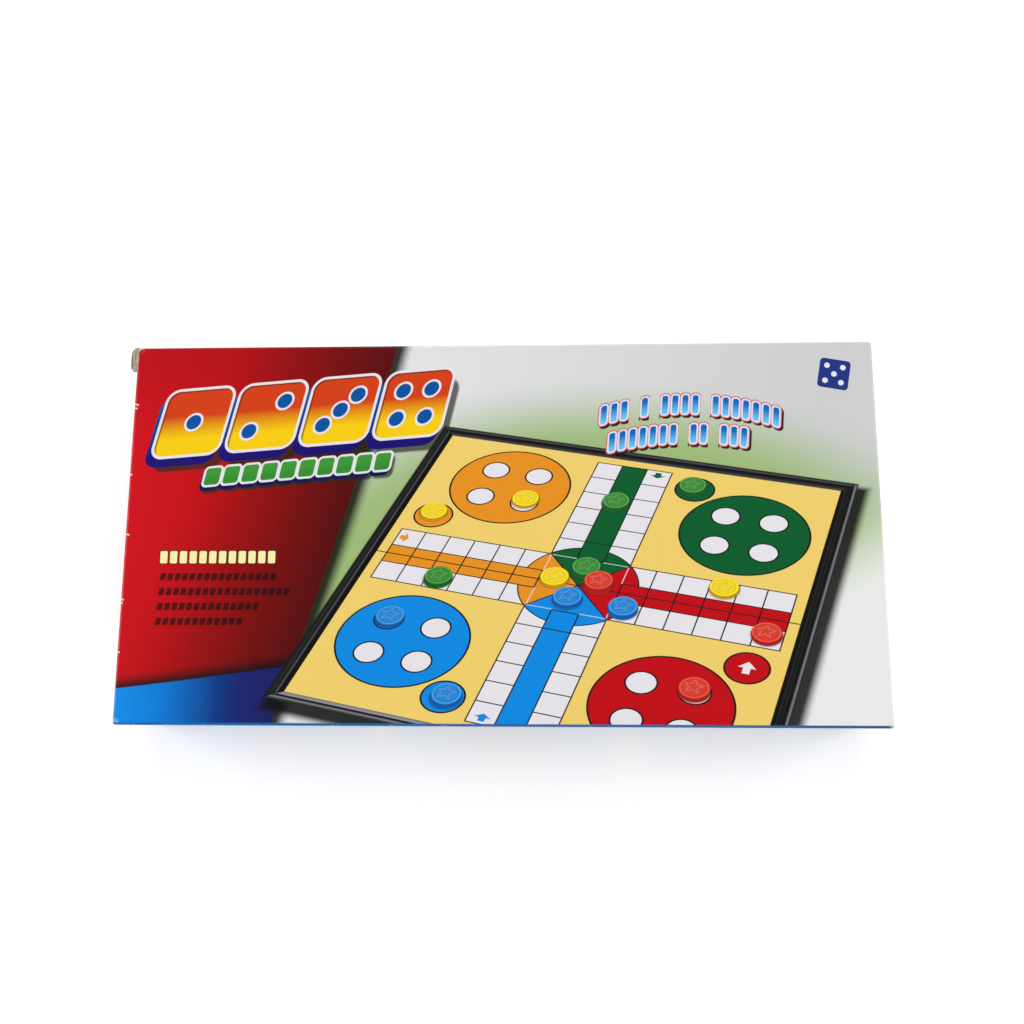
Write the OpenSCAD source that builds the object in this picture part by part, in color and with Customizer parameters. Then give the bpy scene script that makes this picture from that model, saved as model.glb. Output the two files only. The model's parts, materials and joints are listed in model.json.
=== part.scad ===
// Folding ludo board box, closed and lying on its base with the printed face up.
// Two moulded halves are hinged along the back edge. Opened flat they are the
// square board, closed they are the box that keeps the discs and the die.
// Origin: centre of the face that it rests on. +X right, +Y to the hinges, +Z up.

/* [Closed box] */
// Length of the closed box, left to right
box_w = 255; // [235:1:290]
// Depth of the closed box, front edge to hinge edge
box_d = 130; // [126:1:150]
// Height of one half, from its printed face to the parting plane
half_h = 17; // [16:0.5:22]
// Radius of the upright corners
corner_r = 2; // [1.4:0.1:3]
// Gap between the two rims when the box is closed
parting_gap = 0.2; // [0.1:0.05:0.3]

/* [Card covers] */
// Thickness of the printed card
card_t = 0.8; // [0.6:0.1:1.1]
// Radius of the folded edges of the card
fold_r = 0.8; // [0.3:0.1:1]
// Height of the moulded rim that the card leaves bare
rim_band = 3.3; // [2.9:0.1:4.5]
// Reach of the bare board flap at the back left corner of the lid
flap_reach = 2.4; // [1:0.1:4]
// Length of that flap along the left edge
flap_len = 8.5; // [6:0.5:14]
// Thickness of that flap
flap_t = 0.6; // [0.4:0.1:0.8]

/* [Moulded shells] */
// Thickness of the side walls
wall_t = 2.4; // [2.2:0.1:3]
// Thickness of the floor
floor_t = 1.8; // [1.4:0.1:2.2]
// Thickness of the lip along the fold
lip_t = 1.6; // [1.2:0.1:2]
// Depth of the playing field below the rims
well_depth = 3.4; // [3:0.1:4]
// Bevel along the outer edge of the rims
rim_bevel = 0.5; // [0.2:0.1:0.7]
// Thickness of the ribs under the plate
rib_t = 1.2; // [0.8:0.1:2]
// Largest gap between two ribs
rib_gap = 24; // [16:1:25]
// Clearance round the rib grid and the latch catch, which are set into the shell
insert_fit = 0.1; // [0.05:0.05:0.3]

/* [Bezels] */
// Width of the bezel, from the shell's wall to the playing field
bezel_w = 5.8; // [5.4:0.1:7]
// Width of the groove between the two ridges of the frame
groove_w = 0.6; // [0.3:0.1:1]
// Depth of that groove
groove_d = 1.2; // [0.5:0.1:2]
// Width of the slope beside the playing field
slope_w = 2.2; // [1.5:0.1:3]
// Thickness of the slope's lower edge
slope_edge = 0.4; // [0.2:0.1:1]
// Bevel along the bezel's ridge
ridge_bevel = 0.4; // [0.2:0.1:0.6]

/* [Playing field] */
// Thickness of the steel plate
plate_t = 0.5; // [0.3:0.1:0.8]
// Thickness of the printed label
label_t = 0.3; // [0.2:0.1:0.5]
// How far the bezel overlaps the plate
plate_overlap = 2.2; // [1.6:0.1:2.6]
// Margin of the board's squares, from the bezel
board_margin = 3; // [2:0.5:6]
// Clearance round the plate and the label
plate_fit = 0.2; // [0.1:0.05:0.4]

/* [Screws] */
// Distance of the side screws from the front and the back face
screw_inset = 14; // [12:1:24]
// Distance of the front screws from the middle
screw_front_x = 75; // [40:1:95]
// Radius of the bezel's posts
post_r = 1.5; // [1.3:0.1:1.6]
// Length of the bezel's posts
post_len = 5; // [4:0.5:6]
// Clearance round a post in its boss
post_fit = 0.12; // [0.05:0.01:0.15]
// Radius of the shell's bosses
boss_r = 2.9; // [2.6:0.1:3.2]
// Radius of the screw's shank
shank_r = 0.9; // [0.7:0.1:1]
// Clearance round the shank in the boss
shank_fit = 0.2; // [0.1:0.05:0.3]
// Clearance round the shank in the post's pilot hole
pilot_fit = 0.05; // [0.02:0.01:0.08]
// Radius of the screw's head
head_r = 1.9; // [1.6:0.1:2.1]
// Height of the screw's head
head_h = 1.2; // [1:0.1:1.4]
// Clearance round the head in its counterbore
head_fit = 0.2; // [0.1:0.05:0.3]
// Length of the cross slots in the head
slot_l = 2.6; // [1.6:0.1:3]
// Width of the cross slots
slot_w = 0.6; // [0.4:0.1:0.8]

/* [Hinges] */
// Distance of each hinge from the middle
hinge_x = 85; // [50:1:95]
// Distance of the hinge axis behind the back face
hinge_out = 0.4; // [0.3:0.1:0.8]
// Radius of the knuckles
knuckle_r = 2.4; // [2.1:0.1:2.6]
// Length of each of the base's two knuckles
base_knuckle_l = 9; // [6:0.5:14]
// Length of the lid's knuckle between them
lid_knuckle_l = 11.4; // [8:0.2:16]
// Gap between neighbouring knuckles
knuckle_gap = 0.3; // [0.2:0.1:0.6]
// Clearance round a knuckle in the other half's rim
knuckle_fit = 0.4; // [0.3:0.1:0.5]
// Radius of the hinge pins
pin_r = 1; // [0.8:0.1:1.3]
// Clearance round the pins in their bores
pin_fit = 0.05; // [0.02:0.01:0.1]

/* [Latch] */
// Width of the pocket for the latch lever
pocket_w = 36; // [24:1:50]
// Clearance at each end of the lever
lever_gap = 0.3; // [0.2:0.1:0.6]
// Thickness of the lever
lever_t = 2; // [1.6:0.1:2.1]
// How far the lever lies below the front face
lever_sink = 0.15; // [0.1:0.05:0.3]
// Clearance behind the lever
lever_fit = 0.2; // [0.15:0.05:0.3]
// Height of the lever's pin above the parting plane
latch_rise = 8.5; // [7.5:0.5:9.5]
// Radius of the lever's barrel
latch_r = 1.9; // [1.7:0.1:2]
// Reach of the lever below the parting plane
lever_drop = 9.6; // [8.6:0.2:9.6]
// Height of the finger gap under the lever
finger_gap = 4.2; // [4.1:0.1:4.4]
// Depth of the hook's upper face below the parting plane
hook_drop = 6; // [5.6:0.1:6.4]
// Height of the hook
hook_h = 1.4; // [1:0.1:1.6]
// Reach of the hook behind the lever
hook_reach = 1.35; // [1:0.05:1.4]
// Clearance over the hook, under the catch
hook_fit = 0.2; // [0.1:0.05:0.3]
// Radius of the latch pin
latch_pin_r = 0.8; // [0.6:0.1:0.9]
// Clearance round the latch pin
latch_pin_fit = 0.05; // [0.02:0.01:0.08]
// Thickness of the pocket's inner walls
pocket_wall = 2.6; // [2.2:0.1:3.2]

/* [Discs] */
// Diameter of a disc
disc_d = 16; // [14:0.1:16.4]
// Height of a disc
disc_h = 4.8; // [4:0.1:5.4]
// Height of the disc's wide lower part
disc_step_h = 3.4; // [2.6:0.1:3.6]
// Width of the step round the disc
disc_step = 0.9; // [0.4:0.1:1.2]
// Width of the raised ring on top
ring_w = 1; // [0.6:0.1:1.5]
// Depth of the face inside the ring
face_sink = 0.5; // [0.3:0.1:0.7]
// Height of the star above that face
star_h = 0.4; // [0.2:0.1:0.5]
// Radius to the points of the star
star_r = 4.6; // [3:0.1:4.9]
// Radius to the notches between its points
star_notch_r = 2.1; // [1.4:0.1:2.4]
// Bevel on the disc's edges
disc_bevel = 0.3; // [0.1:0.1:0.5]
// Diameter of the magnet
magnet_d = 8; // [6:0.5:10]
// Height of the magnet
magnet_h = 2; // [1.5:0.1:2.4]
// Clearance round the magnet
magnet_fit = 0.1; // [0.05:0.05:0.2]

/* [Die] */
// Side of the die
die_side = 6.4; // [5:0.1:6.6]
// Radius of the ball that rounds the die's corners, as parts of its side
die_ball = 0.74; // [0.7:0.01:0.8]
// Radius of the cutter of the pips
pip_r = 0.9; // [0.6:0.1:1]
// Depth of the pips
pip_depth = 0.3; // [0.2:0.05:0.4]
// Distance of the outer pips from the middle of a face
pip_pitch = 1.6; // [1.4:0.1:1.7]

/* [Hidden] */
$fn = 48;

// overlap of solids that are fused, and reach of a cut past the face it opens
lap = 1;

// squares along one side of the board
board_cells = 15;

// levels of one half, up from its printed face
rim_z = half_h - parting_gap / 2;
band_z = rim_z - rim_band;
field_z = rim_z - well_depth;
plate_z = field_z - label_t - plate_t;
floor_z = card_t + floor_t;

// faces of the half in plan
front_y = -box_d / 2;
back_y = box_d / 2;
skin = card_t + wall_t;
in_x = box_w / 2 - skin;
in_front = front_y + skin;
in_back = back_y - skin;
lip_y = back_y - lip_t;
bar_w = skin + bezel_w;
field_x = box_w / 2 - bar_w;
field_front = front_y + bar_w;
foot_in = bar_w - plate_overlap - plate_fit;

// hinge and latch axes, and the side of a square of the board, which the fold halves
axis_y = back_y + hinge_out;
cell = 2 * (min(field_x, axis_y - field_front) - board_margin) / board_cells;
pivot_y = front_y + lever_sink + latch_r;
pivot_z = half_h + latch_rise;
pocket_low = half_h - lever_drop - finger_gap;
catch_z = half_h - hook_drop + hook_fit;
shallow_y = front_y + lever_sink + lever_t + lever_fit;
deep_y = front_y + lever_sink + 2 * latch_r + lever_fit;
barrel_fit = 0.4;
lid_pocket_low = 2 * half_h - pivot_z - latch_r - barrel_fit;
latch_pin_l = pocket_w + 2 * pocket_wall - 2 * barrel_fit;

// middle of the base's knuckles, from the middle of a hinge, and length of the hinge
knuckle_side = (lid_knuckle_l + base_knuckle_l) / 2 + knuckle_gap;
hinge_l = lid_knuckle_l + 2 * base_knuckle_l + 2 * knuckle_gap;

// places of the bezel's posts and the screws: middle of the bezel's foot
post_s = (skin + foot_in) / 2;
post_places = concat(
    [for (sx = [-1, 1], sy = [-1, 1]) [sx * (box_w / 2 - post_s), sy * (box_d / 2 - screw_inset)]],
    [for (sx = [-1, 1]) [sx * screw_front_x, front_y + post_s]]);
post_end_z = plate_z - post_len;
screw_seat_z = card_t + head_h + head_fit;
screw_tip_z = plate_z - lap;

// places of the discs in squares of the board: across, and away from the fold
blue_places = [[-5.73, 3.47], [-2.45, 6.5], [0, 3], [3, 1]];
red_places = [[1.3, 0.85], [5.23, 3.97], [7, 1], [1, 6]];
green_base_places = [[-5, 1]];
yellow_places = [[-3.47, 3.97], [-6.5, 2.45], [5, 1], [-1.05, 0.85]];
green_lid_places = [[0.25, 1.35], [0, 5], [2.45, 6.5]];
die_place = [-2.3, 2.3];

// pips of a die's face, by number, and the faces by the turn that brings them up
corner_pips = [[-1, -1], [1, 1]];
other_pips = [[-1, 1], [1, -1]];
side_pips = [[-1, 0], [1, 0]];
middle_pip = [[0, 0]];
pips = [middle_pip, corner_pips, concat(corner_pips, middle_pip), concat(corner_pips, other_pips),
    concat(corner_pips, other_pips, middle_pip), concat(corner_pips, other_pips, side_pips)];
die_faces = [[3, [0, 0, 0]], [4, [180, 0, 0]], [1, [0, 90, 0]], [6, [0, -90, 0]],
    [5, [90, 0, 0]], [2, [-90, 0, 0]]];

// colours
black = [0.07, 0.07, 0.08];
card_red = [0.75, 0.02, 0.06];
field_yellow = [0.94, 0.81, 0.43];
steel = [0.75, 0.76, 0.78];
dark_steel = [0.45, 0.46, 0.5];
disc_blue = [0.12, 0.5, 0.85];
disc_red = [0.85, 0.23, 0.15];
disc_green = [0.23, 0.55, 0.23];
disc_yellow = [0.96, 0.84, 0.08];

// closes a half outline, given on its +X side, into a symmetric one
function both_sides(half) = concat(half, [for (i = [len(half) - 1:-1:0]) [-half[i][0], half[i][1]]]);

function star_points(r_out, r_in) =
    [for (i = [0:9]) let (r = i % 2 == 0 ? r_out : r_in, a = 90 + 36 * i) [r * cos(a), r * sin(a)]];

// an outline of across and up, drawn out along Y, and one of back and up, drawn out along X
module along_y(length) {
    rotate([90, 0, 0]) linear_extrude(length, center = true) children();
}

module along_x(length) {
    rotate([90, 0, 90]) linear_extrude(length, center = true) children();
}

module round_rect(w, d, r) {
    square([w - 2 * r, d], center = true);
    square([w, d - 2 * r], center = true);
    for (sx = [-1, 1], sy = [-1, 1])
        translate([sx * (w / 2 - r), sy * (d / 2 - r)])
            circle(r);
}

// an upright section whose two lower corners are rounded
module tray_section(w, h, r) {
    translate([-w / 2, r]) square([w, h - r]);
    translate([r - w / 2, 0]) square([w - 2 * r, h]);
    for (sx = [-1, 1])
        translate([sx * (w / 2 - r), r])
            circle(r);
}

// turns a half of the base over into the lid
module to_lid() {
    translate([0, 0, 2 * half_h]) mirror([0, 0, 1]) children();
}

// a cylinder on the hinge axis
module on_axis(x, length, r) {
    translate([x, axis_y, half_h]) rotate([0, 90, 0]) cylinder(h = length, r = r, center = true);
}

module card_cover(notch_z) {
    difference() {
        intersection() {
            linear_extrude(band_z) round_rect(box_w, box_d, corner_r);
            along_y(box_d + lap) tray_section(box_w, band_z, fold_r);
            along_x(box_w + lap) tray_section(box_d, band_z, fold_r);
        }
        translate([0, 0, card_t])
            linear_extrude(band_z)
                round_rect(box_w - 2 * card_t, box_d - 2 * card_t, corner_r - card_t);
        translate([-pocket_w / 2, front_y - lap, notch_z])
            cube([pocket_w, card_t + 2 * lap, band_z]);
    }
}

// the rim between the two covers, with its outer edge bevelled
module rim_block() {
    bevelled_w = [[box_w / 2, band_z], [box_w / 2, rim_z - rim_bevel], [box_w / 2 - rim_bevel, rim_z]];
    bevelled_d = [[box_d / 2, band_z], [box_d / 2, rim_z - rim_bevel], [box_d / 2 - rim_bevel, rim_z]];
    intersection() {
        translate([0, 0, band_z]) linear_extrude(rim_band) round_rect(box_w, box_d, corner_r);
        along_y(box_d + lap) polygon(both_sides(bevelled_w));
        along_x(box_w + lap) polygon(both_sides(bevelled_d));
    }
}

// plan of the block behind the front wall that the latch pocket is cut into, grown by a
// clearance, or with a root that joins it to the wall
module pocket_block_plan(fit = 0, root = 0) {
    block_w = pocket_w + 2 * (pocket_wall + fit);
    translate([-block_w / 2, in_front - fit - root])
        square([block_w, deep_y + pocket_wall - in_front + 2 * fit + root]);
}

// the lid's pocket: as deep as the lever, and deeper where its barrel turns
module lid_pocket() {
    translate([-pocket_w / 2, front_y - lap, lid_pocket_low])
        cube([pocket_w, shallow_y - front_y + lap, rim_z - lid_pocket_low + lap]);
    translate([-pocket_w / 2, front_y - lap, lid_pocket_low])
        cube([pocket_w, deep_y - front_y + lap, 2 * (latch_r + barrel_fit)]);
}

// crossed ribs that carry the plate, cut back round the bosses and the pocket's block
module rib_grid() {
    span_x = 2 * (in_x - insert_fit);
    span_y = in_back - in_front - 2 * insert_fit;
    cells_x = ceil((span_x + rib_t) / (rib_gap + rib_t));
    cells_y = ceil((span_y + rib_t) / (rib_gap + rib_t));
    translate([0, 0, floor_z])
        linear_extrude(plate_z - floor_z)
            difference() {
                translate([-span_x / 2, in_front + insert_fit]) {
                    for (i = [1:cells_x - 1])
                        translate([i * span_x / cells_x - rib_t / 2, 0]) square([rib_t, span_y]);
                    for (i = [1:cells_y - 1])
                        translate([0, i * span_y / cells_y - rib_t / 2]) square([span_x, rib_t]);
                }
                for (p = post_places)
                    translate(p) circle(boss_r + insert_fit);
                pocket_block_plan(fit = insert_fit);
            }
}

module screw_holes() {
    for (p = post_places)
        translate([p[0], p[1], 0]) {
            cylinder(h = screw_seat_z, r = head_r + head_fit);
            cylinder(h = plate_z, r = shank_r + shank_fit);
            translate([0, 0, post_end_z - post_fit]) cylinder(h = post_len + lap, r = post_r + post_fit);
        }
}

// one moulded half with all that both halves share
module shell_blank() {
    difference() {
        union() {
            translate([0, 0, card_t])
                linear_extrude(band_z - card_t + lap)
                    round_rect(box_w - 2 * card_t, box_d - 2 * card_t, corner_r - card_t);
            rim_block();
        }
        translate([-in_x, in_front, floor_z])
            cube([2 * in_x, in_back - in_front, rim_z - floor_z + lap]);
        translate([-in_x, in_front, plate_z])
            cube([2 * in_x, lip_y - in_front, rim_z - plate_z + lap]);
    }
    for (p = post_places)
        translate([p[0], p[1], floor_z - lap / 2])
            cylinder(h = plate_z - floor_z + lap / 2, r = boss_r);
}

module base_shell() {
    color(black)
        difference() {
            union() {
                shell_blank();
                for (sx = [-1, 1], sk = [-1, 1])
                    on_axis(sx * hinge_x + sk * knuckle_side, base_knuckle_l, knuckle_r);
            }
            screw_holes();
            translate([-pocket_w / 2, front_y - lap, pocket_low])
                cube([pocket_w, skin + 2 * lap, rim_z - pocket_low + lap]);
            for (sx = [-1, 1]) {
                on_axis(sx * hinge_x, lid_knuckle_l + 2 * knuckle_gap, knuckle_r + knuckle_fit);
                on_axis(sx * hinge_x, hinge_l + lap, pin_r + pin_fit);
            }
        }
}

module base_ribs() {
    color(black) rib_grid();
}

// a block behind the notch in the base's wall, with a nose that the latch's hook goes under
module base_catch() {
    nose_w = pocket_w - 2 * insert_fit;
    color(black)
        difference() {
            union() {
                translate([0, 0, floor_z]) linear_extrude(plate_z - floor_z) pocket_block_plan();
                along_x(nose_w)
                    polygon([[shallow_y, catch_z], [in_front + lap, catch_z], [in_front + lap, plate_z],
                        [in_front - insert_fit, plate_z], [in_front - insert_fit, rim_z],
                        [shallow_y, rim_z]]);
            }
            translate([-nose_w / 2, in_front - lap, pocket_low])
                cube([nose_w, deep_y - in_front + lap, catch_z - pocket_low]);
        }
}

module lid_shell() {
    color(black)
        difference() {
            to_lid()
                difference() {
                    union() {
                        shell_blank();
                        translate([0, 0, floor_z - lap / 2])
                            linear_extrude(plate_z - floor_z + lap / 2) pocket_block_plan(root = lap / 2);
                        for (sx = [-1, 1])
                            on_axis(sx * hinge_x, lid_knuckle_l, knuckle_r);
                    }
                    screw_holes();
                    lid_pocket();
                }
            for (sx = [-1, 1]) {
                for (sk = [-1, 1])
                    on_axis(sx * hinge_x + sk * knuckle_side, base_knuckle_l + 2 * knuckle_gap,
                        knuckle_r + knuckle_fit);
                on_axis(sx * hinge_x, hinge_l + lap, pin_r + pin_fit);
            }
            latch_axis(latch_pin_l, latch_pin_r + latch_pin_fit);
        }
}

module lid_ribs() {
    color(black) to_lid() rib_grid();
}

module latch_axis(length, r) {
    translate([0, pivot_y, pivot_z]) rotate([0, 90, 0]) cylinder(h = length, r = r, center = true);
}

// U-shaped frame: its outline and its opening are each the meeting of two drawn out
// sections, which mitres the corners
module bezel() {
    ridge_x = in_x - groove_w;
    ridge_front = in_front + groove_w;
    slope_top = field_x + slope_w;
    difference() {
        intersection() {
            along_y(box_d)
                polygon(both_sides([[in_x, plate_z], [in_x, rim_z - groove_d], [ridge_x, rim_z - groove_d],
                    [ridge_x, rim_z - ridge_bevel], [ridge_x - ridge_bevel, rim_z]]));
            along_x(box_w)
                polygon([[lip_y, plate_z], [in_front, plate_z], [in_front, rim_z - groove_d],
                    [ridge_front, rim_z - groove_d], [ridge_front, rim_z - ridge_bevel],
                    [ridge_front + ridge_bevel, rim_z], [lip_y, rim_z]]);
        }
        intersection() {
            along_y(2 * box_d)
                polygon(both_sides([[box_w / 2 - foot_in, plate_z - lap], [box_w / 2 - foot_in, field_z],
                    [field_x, field_z], [field_x, field_z + slope_edge], [slope_top, rim_z],
                    [slope_top, rim_z + lap]]));
            along_x(box_w)
                polygon([[back_y + lap, plate_z - lap], [front_y + foot_in, plate_z - lap],
                    [front_y + foot_in, field_z], [field_front, field_z],
                    [field_front, field_z + slope_edge], [field_front - slope_w, rim_z],
                    [field_front - slope_w, rim_z + lap], [back_y + lap, rim_z + lap]]);
        }
    }
    for (p = post_places)
        translate([p[0], p[1], post_end_z])
            cylinder(h = post_len + lap / 2, r = post_r);
}

module drilled_bezel() {
    difference() {
        bezel();
        for (p = post_places)
            translate([p[0], p[1], post_end_z - lap])
                cylinder(h = screw_tip_z - post_end_z + lap + pilot_fit, r = shank_r + pilot_fit);
    }
}

module base_bezel() {
    color(black) drilled_bezel();
}

module lid_bezel() {
    color(black) to_lid() drilled_bezel();
}

// a sheet under the bezel's overlap on three sides, ending at the fold's lip
module field_sheet(z, t) {
    edge = foot_in + plate_fit;
    translate([edge - box_w / 2, front_y + edge, z])
        cube([box_w - 2 * edge, lip_y - plate_fit - front_y - edge, t]);
}

module base_plate() {
    color(steel) field_sheet(plate_z, plate_t);
}

module lid_plate() {
    color(steel) to_lid() field_sheet(plate_z, plate_t);
}

module base_label() {
    color(field_yellow) field_sheet(plate_z + plate_t, label_t);
}

module lid_label() {
    color(field_yellow) to_lid() field_sheet(plate_z + plate_t, label_t);
}

module base_cover() {
    color(card_red) card_cover(pocket_low);
}

// the lid's cover, with a flap of bare board that stands out at the back left corner
module lid_cover() {
    flap_end = back_y - corner_r - flap_len;
    color(card_red) {
        to_lid() card_cover(lid_pocket_low);
        translate([-box_w / 2, flap_end, 2 * half_h - card_t])
            linear_extrude(flap_t)
                intersection() {
                    translate([-flap_reach, 0]) square([flap_reach + lap, flap_len]);
                    union() {
                        translate([0, flap_reach]) circle(flap_reach);
                        translate([-flap_reach, flap_reach]) square([flap_reach + lap, flap_len]);
                        square([lap, flap_len]);
                    }
                }
    }
}

module screw_set() {
    for (p = post_places)
        translate([p[0], p[1], 0])
            difference() {
                union() {
                    translate([0, 0, screw_seat_z - head_h]) cylinder(h = head_h, r = head_r);
                    translate([0, 0, screw_seat_z - head_h / 2])
                        cylinder(h = screw_tip_z - screw_seat_z + head_h / 2, r = shank_r);
                }
                for (turn = [0, 90])
                    rotate(turn)
                        translate([-slot_l / 2, -slot_w / 2, 0])
                            cube([slot_l, slot_w, screw_seat_z - head_h / 2]);
            }
}

module base_screws() {
    color(dark_steel) screw_set();
}

module lid_screws() {
    color(dark_steel) to_lid() screw_set();
}

module hinge_pins() {
    color(steel)
        for (sx = [-1, 1])
            on_axis(sx * hinge_x, hinge_l, pin_r);
}

// the lever is one section drawn out along the front edge: barrel, plate and hook
module latch_lever() {
    face_y = front_y + lever_sink;
    inner_y = face_y + lever_t;
    low_z = half_h - lever_drop;
    hook_z = half_h - hook_drop;
    color(black)
        difference() {
            union() {
                latch_axis(pocket_w - 2 * lever_gap, latch_r);
                along_x(pocket_w - 2 * lever_gap)
                    polygon([[face_y, pivot_z], [face_y, low_z + lever_t / 2],
                        [face_y + lever_t / 2, low_z], [inner_y, low_z], [inner_y, hook_z - hook_h],
                        [inner_y + hook_reach, hook_z - hook_h / 2], [inner_y + hook_reach, hook_z],
                        [inner_y, hook_z], [inner_y, pivot_z]]);
            }
            latch_axis(pocket_w, latch_pin_r + latch_pin_fit);
        }
}

module latch_pin() {
    color(steel) latch_axis(latch_pin_l, latch_pin_r);
}

// a stepped disc with a raised ring and a star, hollowed below for its magnet
module disc() {
    r = disc_d / 2;
    top_r = r - disc_step;
    face_z = disc_h - face_sink;
    difference() {
        union() {
            rotate_extrude()
                polygon([[0, 0], [r - disc_bevel, 0], [r, disc_bevel], [r, disc_step_h - disc_bevel],
                    [r - disc_bevel, disc_step_h], [top_r, disc_step_h], [top_r, disc_h - disc_bevel],
                    [top_r - disc_bevel, disc_h], [top_r - ring_w, disc_h],
                    [top_r - ring_w - disc_bevel, face_z], [0, face_z]]);
            translate([0, 0, face_z - disc_bevel])
                linear_extrude(star_h + disc_bevel)
                    polygon(star_points(star_r, star_notch_r));
        }
        translate([0, 0, -lap]) cylinder(h = magnet_h + lap, r = magnet_d / 2 + magnet_fit);
    }
}

module at_places(places) {
    for (p = places)
        translate([p[0] * cell, axis_y - p[1] * cell, field_z])
            children();
}

module magnet() {
    cylinder(h = magnet_h, r = magnet_d / 2);
}

module blue_discs() {
    color(disc_blue) at_places(blue_places) disc();
}

module red_discs() {
    color(disc_red) at_places(red_places) disc();
}

module green_disc_base() {
    color(disc_green) at_places(green_base_places) disc();
}

module yellow_discs() {
    color(disc_yellow) to_lid() at_places(yellow_places) disc();
}

module green_discs_lid() {
    color(disc_green) to_lid() at_places(green_lid_places) disc();
}

module base_magnets() {
    color(dark_steel) at_places(concat(blue_places, red_places, green_base_places)) magnet();
}

module lid_magnets() {
    color(dark_steel) to_lid() at_places(concat(yellow_places, green_lid_places)) magnet();
}

module die() {
    color("ivory")
        at_places([die_place])
            translate([0, 0, die_side / 2])
                difference() {
                    intersection() {
                        cube(die_side, center = true);
                        sphere(die_side * die_ball);
                    }
                    for (face = die_faces)
                        rotate(face[1])
                            for (p = pips[face[0] - 1])
                                translate([p[0] * pip_pitch, p[1] * pip_pitch,
                                    die_side / 2 + pip_r - pip_depth])
                                    sphere(pip_r, $fn = 24);
                }
}

base_shell();
base_ribs();
base_catch();
base_bezel();
base_plate();
base_label();
base_cover();
base_screws();
lid_shell();
lid_ribs();
lid_bezel();
lid_plate();
lid_label();
lid_cover();
lid_screws();
hinge_pins();
latch_lever();
latch_pin();
blue_discs();
red_discs();
green_disc_base();
yellow_discs();
green_discs_lid();
base_magnets();
lid_magnets();
die();
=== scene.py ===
import functools
import json
import math

import bmesh
import bpy
import numpy as np
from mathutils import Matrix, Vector


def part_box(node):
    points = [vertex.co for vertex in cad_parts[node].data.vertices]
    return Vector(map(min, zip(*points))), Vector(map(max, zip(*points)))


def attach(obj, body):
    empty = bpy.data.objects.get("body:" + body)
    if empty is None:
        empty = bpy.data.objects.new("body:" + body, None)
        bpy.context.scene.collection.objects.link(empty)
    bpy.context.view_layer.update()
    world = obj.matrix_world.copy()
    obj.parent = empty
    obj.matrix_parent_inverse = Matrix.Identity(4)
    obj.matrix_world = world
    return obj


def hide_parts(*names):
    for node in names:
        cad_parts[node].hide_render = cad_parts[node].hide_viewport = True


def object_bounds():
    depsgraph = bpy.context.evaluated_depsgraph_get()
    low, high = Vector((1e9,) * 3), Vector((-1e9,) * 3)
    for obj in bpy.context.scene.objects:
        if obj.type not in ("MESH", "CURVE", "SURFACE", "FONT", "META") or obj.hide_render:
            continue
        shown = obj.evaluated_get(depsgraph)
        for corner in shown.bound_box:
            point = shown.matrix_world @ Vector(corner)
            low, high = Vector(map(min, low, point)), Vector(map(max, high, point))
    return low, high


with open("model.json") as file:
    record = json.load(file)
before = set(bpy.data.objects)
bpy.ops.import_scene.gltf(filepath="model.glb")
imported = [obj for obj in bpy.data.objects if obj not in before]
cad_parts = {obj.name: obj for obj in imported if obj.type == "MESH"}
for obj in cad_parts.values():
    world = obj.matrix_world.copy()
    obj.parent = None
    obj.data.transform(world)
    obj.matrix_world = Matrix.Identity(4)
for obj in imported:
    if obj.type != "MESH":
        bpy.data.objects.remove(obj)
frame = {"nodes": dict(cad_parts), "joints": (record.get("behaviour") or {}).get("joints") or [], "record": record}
cad_low, cad_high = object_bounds()
nodes = frame["nodes"]
MM = 0.001


# sizes, read from the frame, in millimetres

cover_low, cover_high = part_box("base_cover")
BOX_W = (cover_high.x - cover_low.x) / MM
BOX_D = (cover_high.y - cover_low.y) / MM
COVER_H = cover_high.z / MM
BOX_H = cad_high.z / MM
HINGE_AXIS = next(j for j in frame["joints"] if j["name"] == "lid_fold")
FOLD_Y = HINGE_AXIS["pos_m"][1] / MM
# the board's print: squares across it, its yellow margin and the frame bar beside it
BOARD_CELLS = 15
FIELD_MARGIN = 3.0
BAR_W = 9.0
CELL = (BOX_W - 2 * (BAR_W + FIELD_MARGIN)) / BOARD_CELLS
# the card covers: radius of their folds, radius of their corners, and thickness
FOLD_R = 0.9
CORNER_R = 1.0
CARD_T = 0.75


# shader maths

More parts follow.
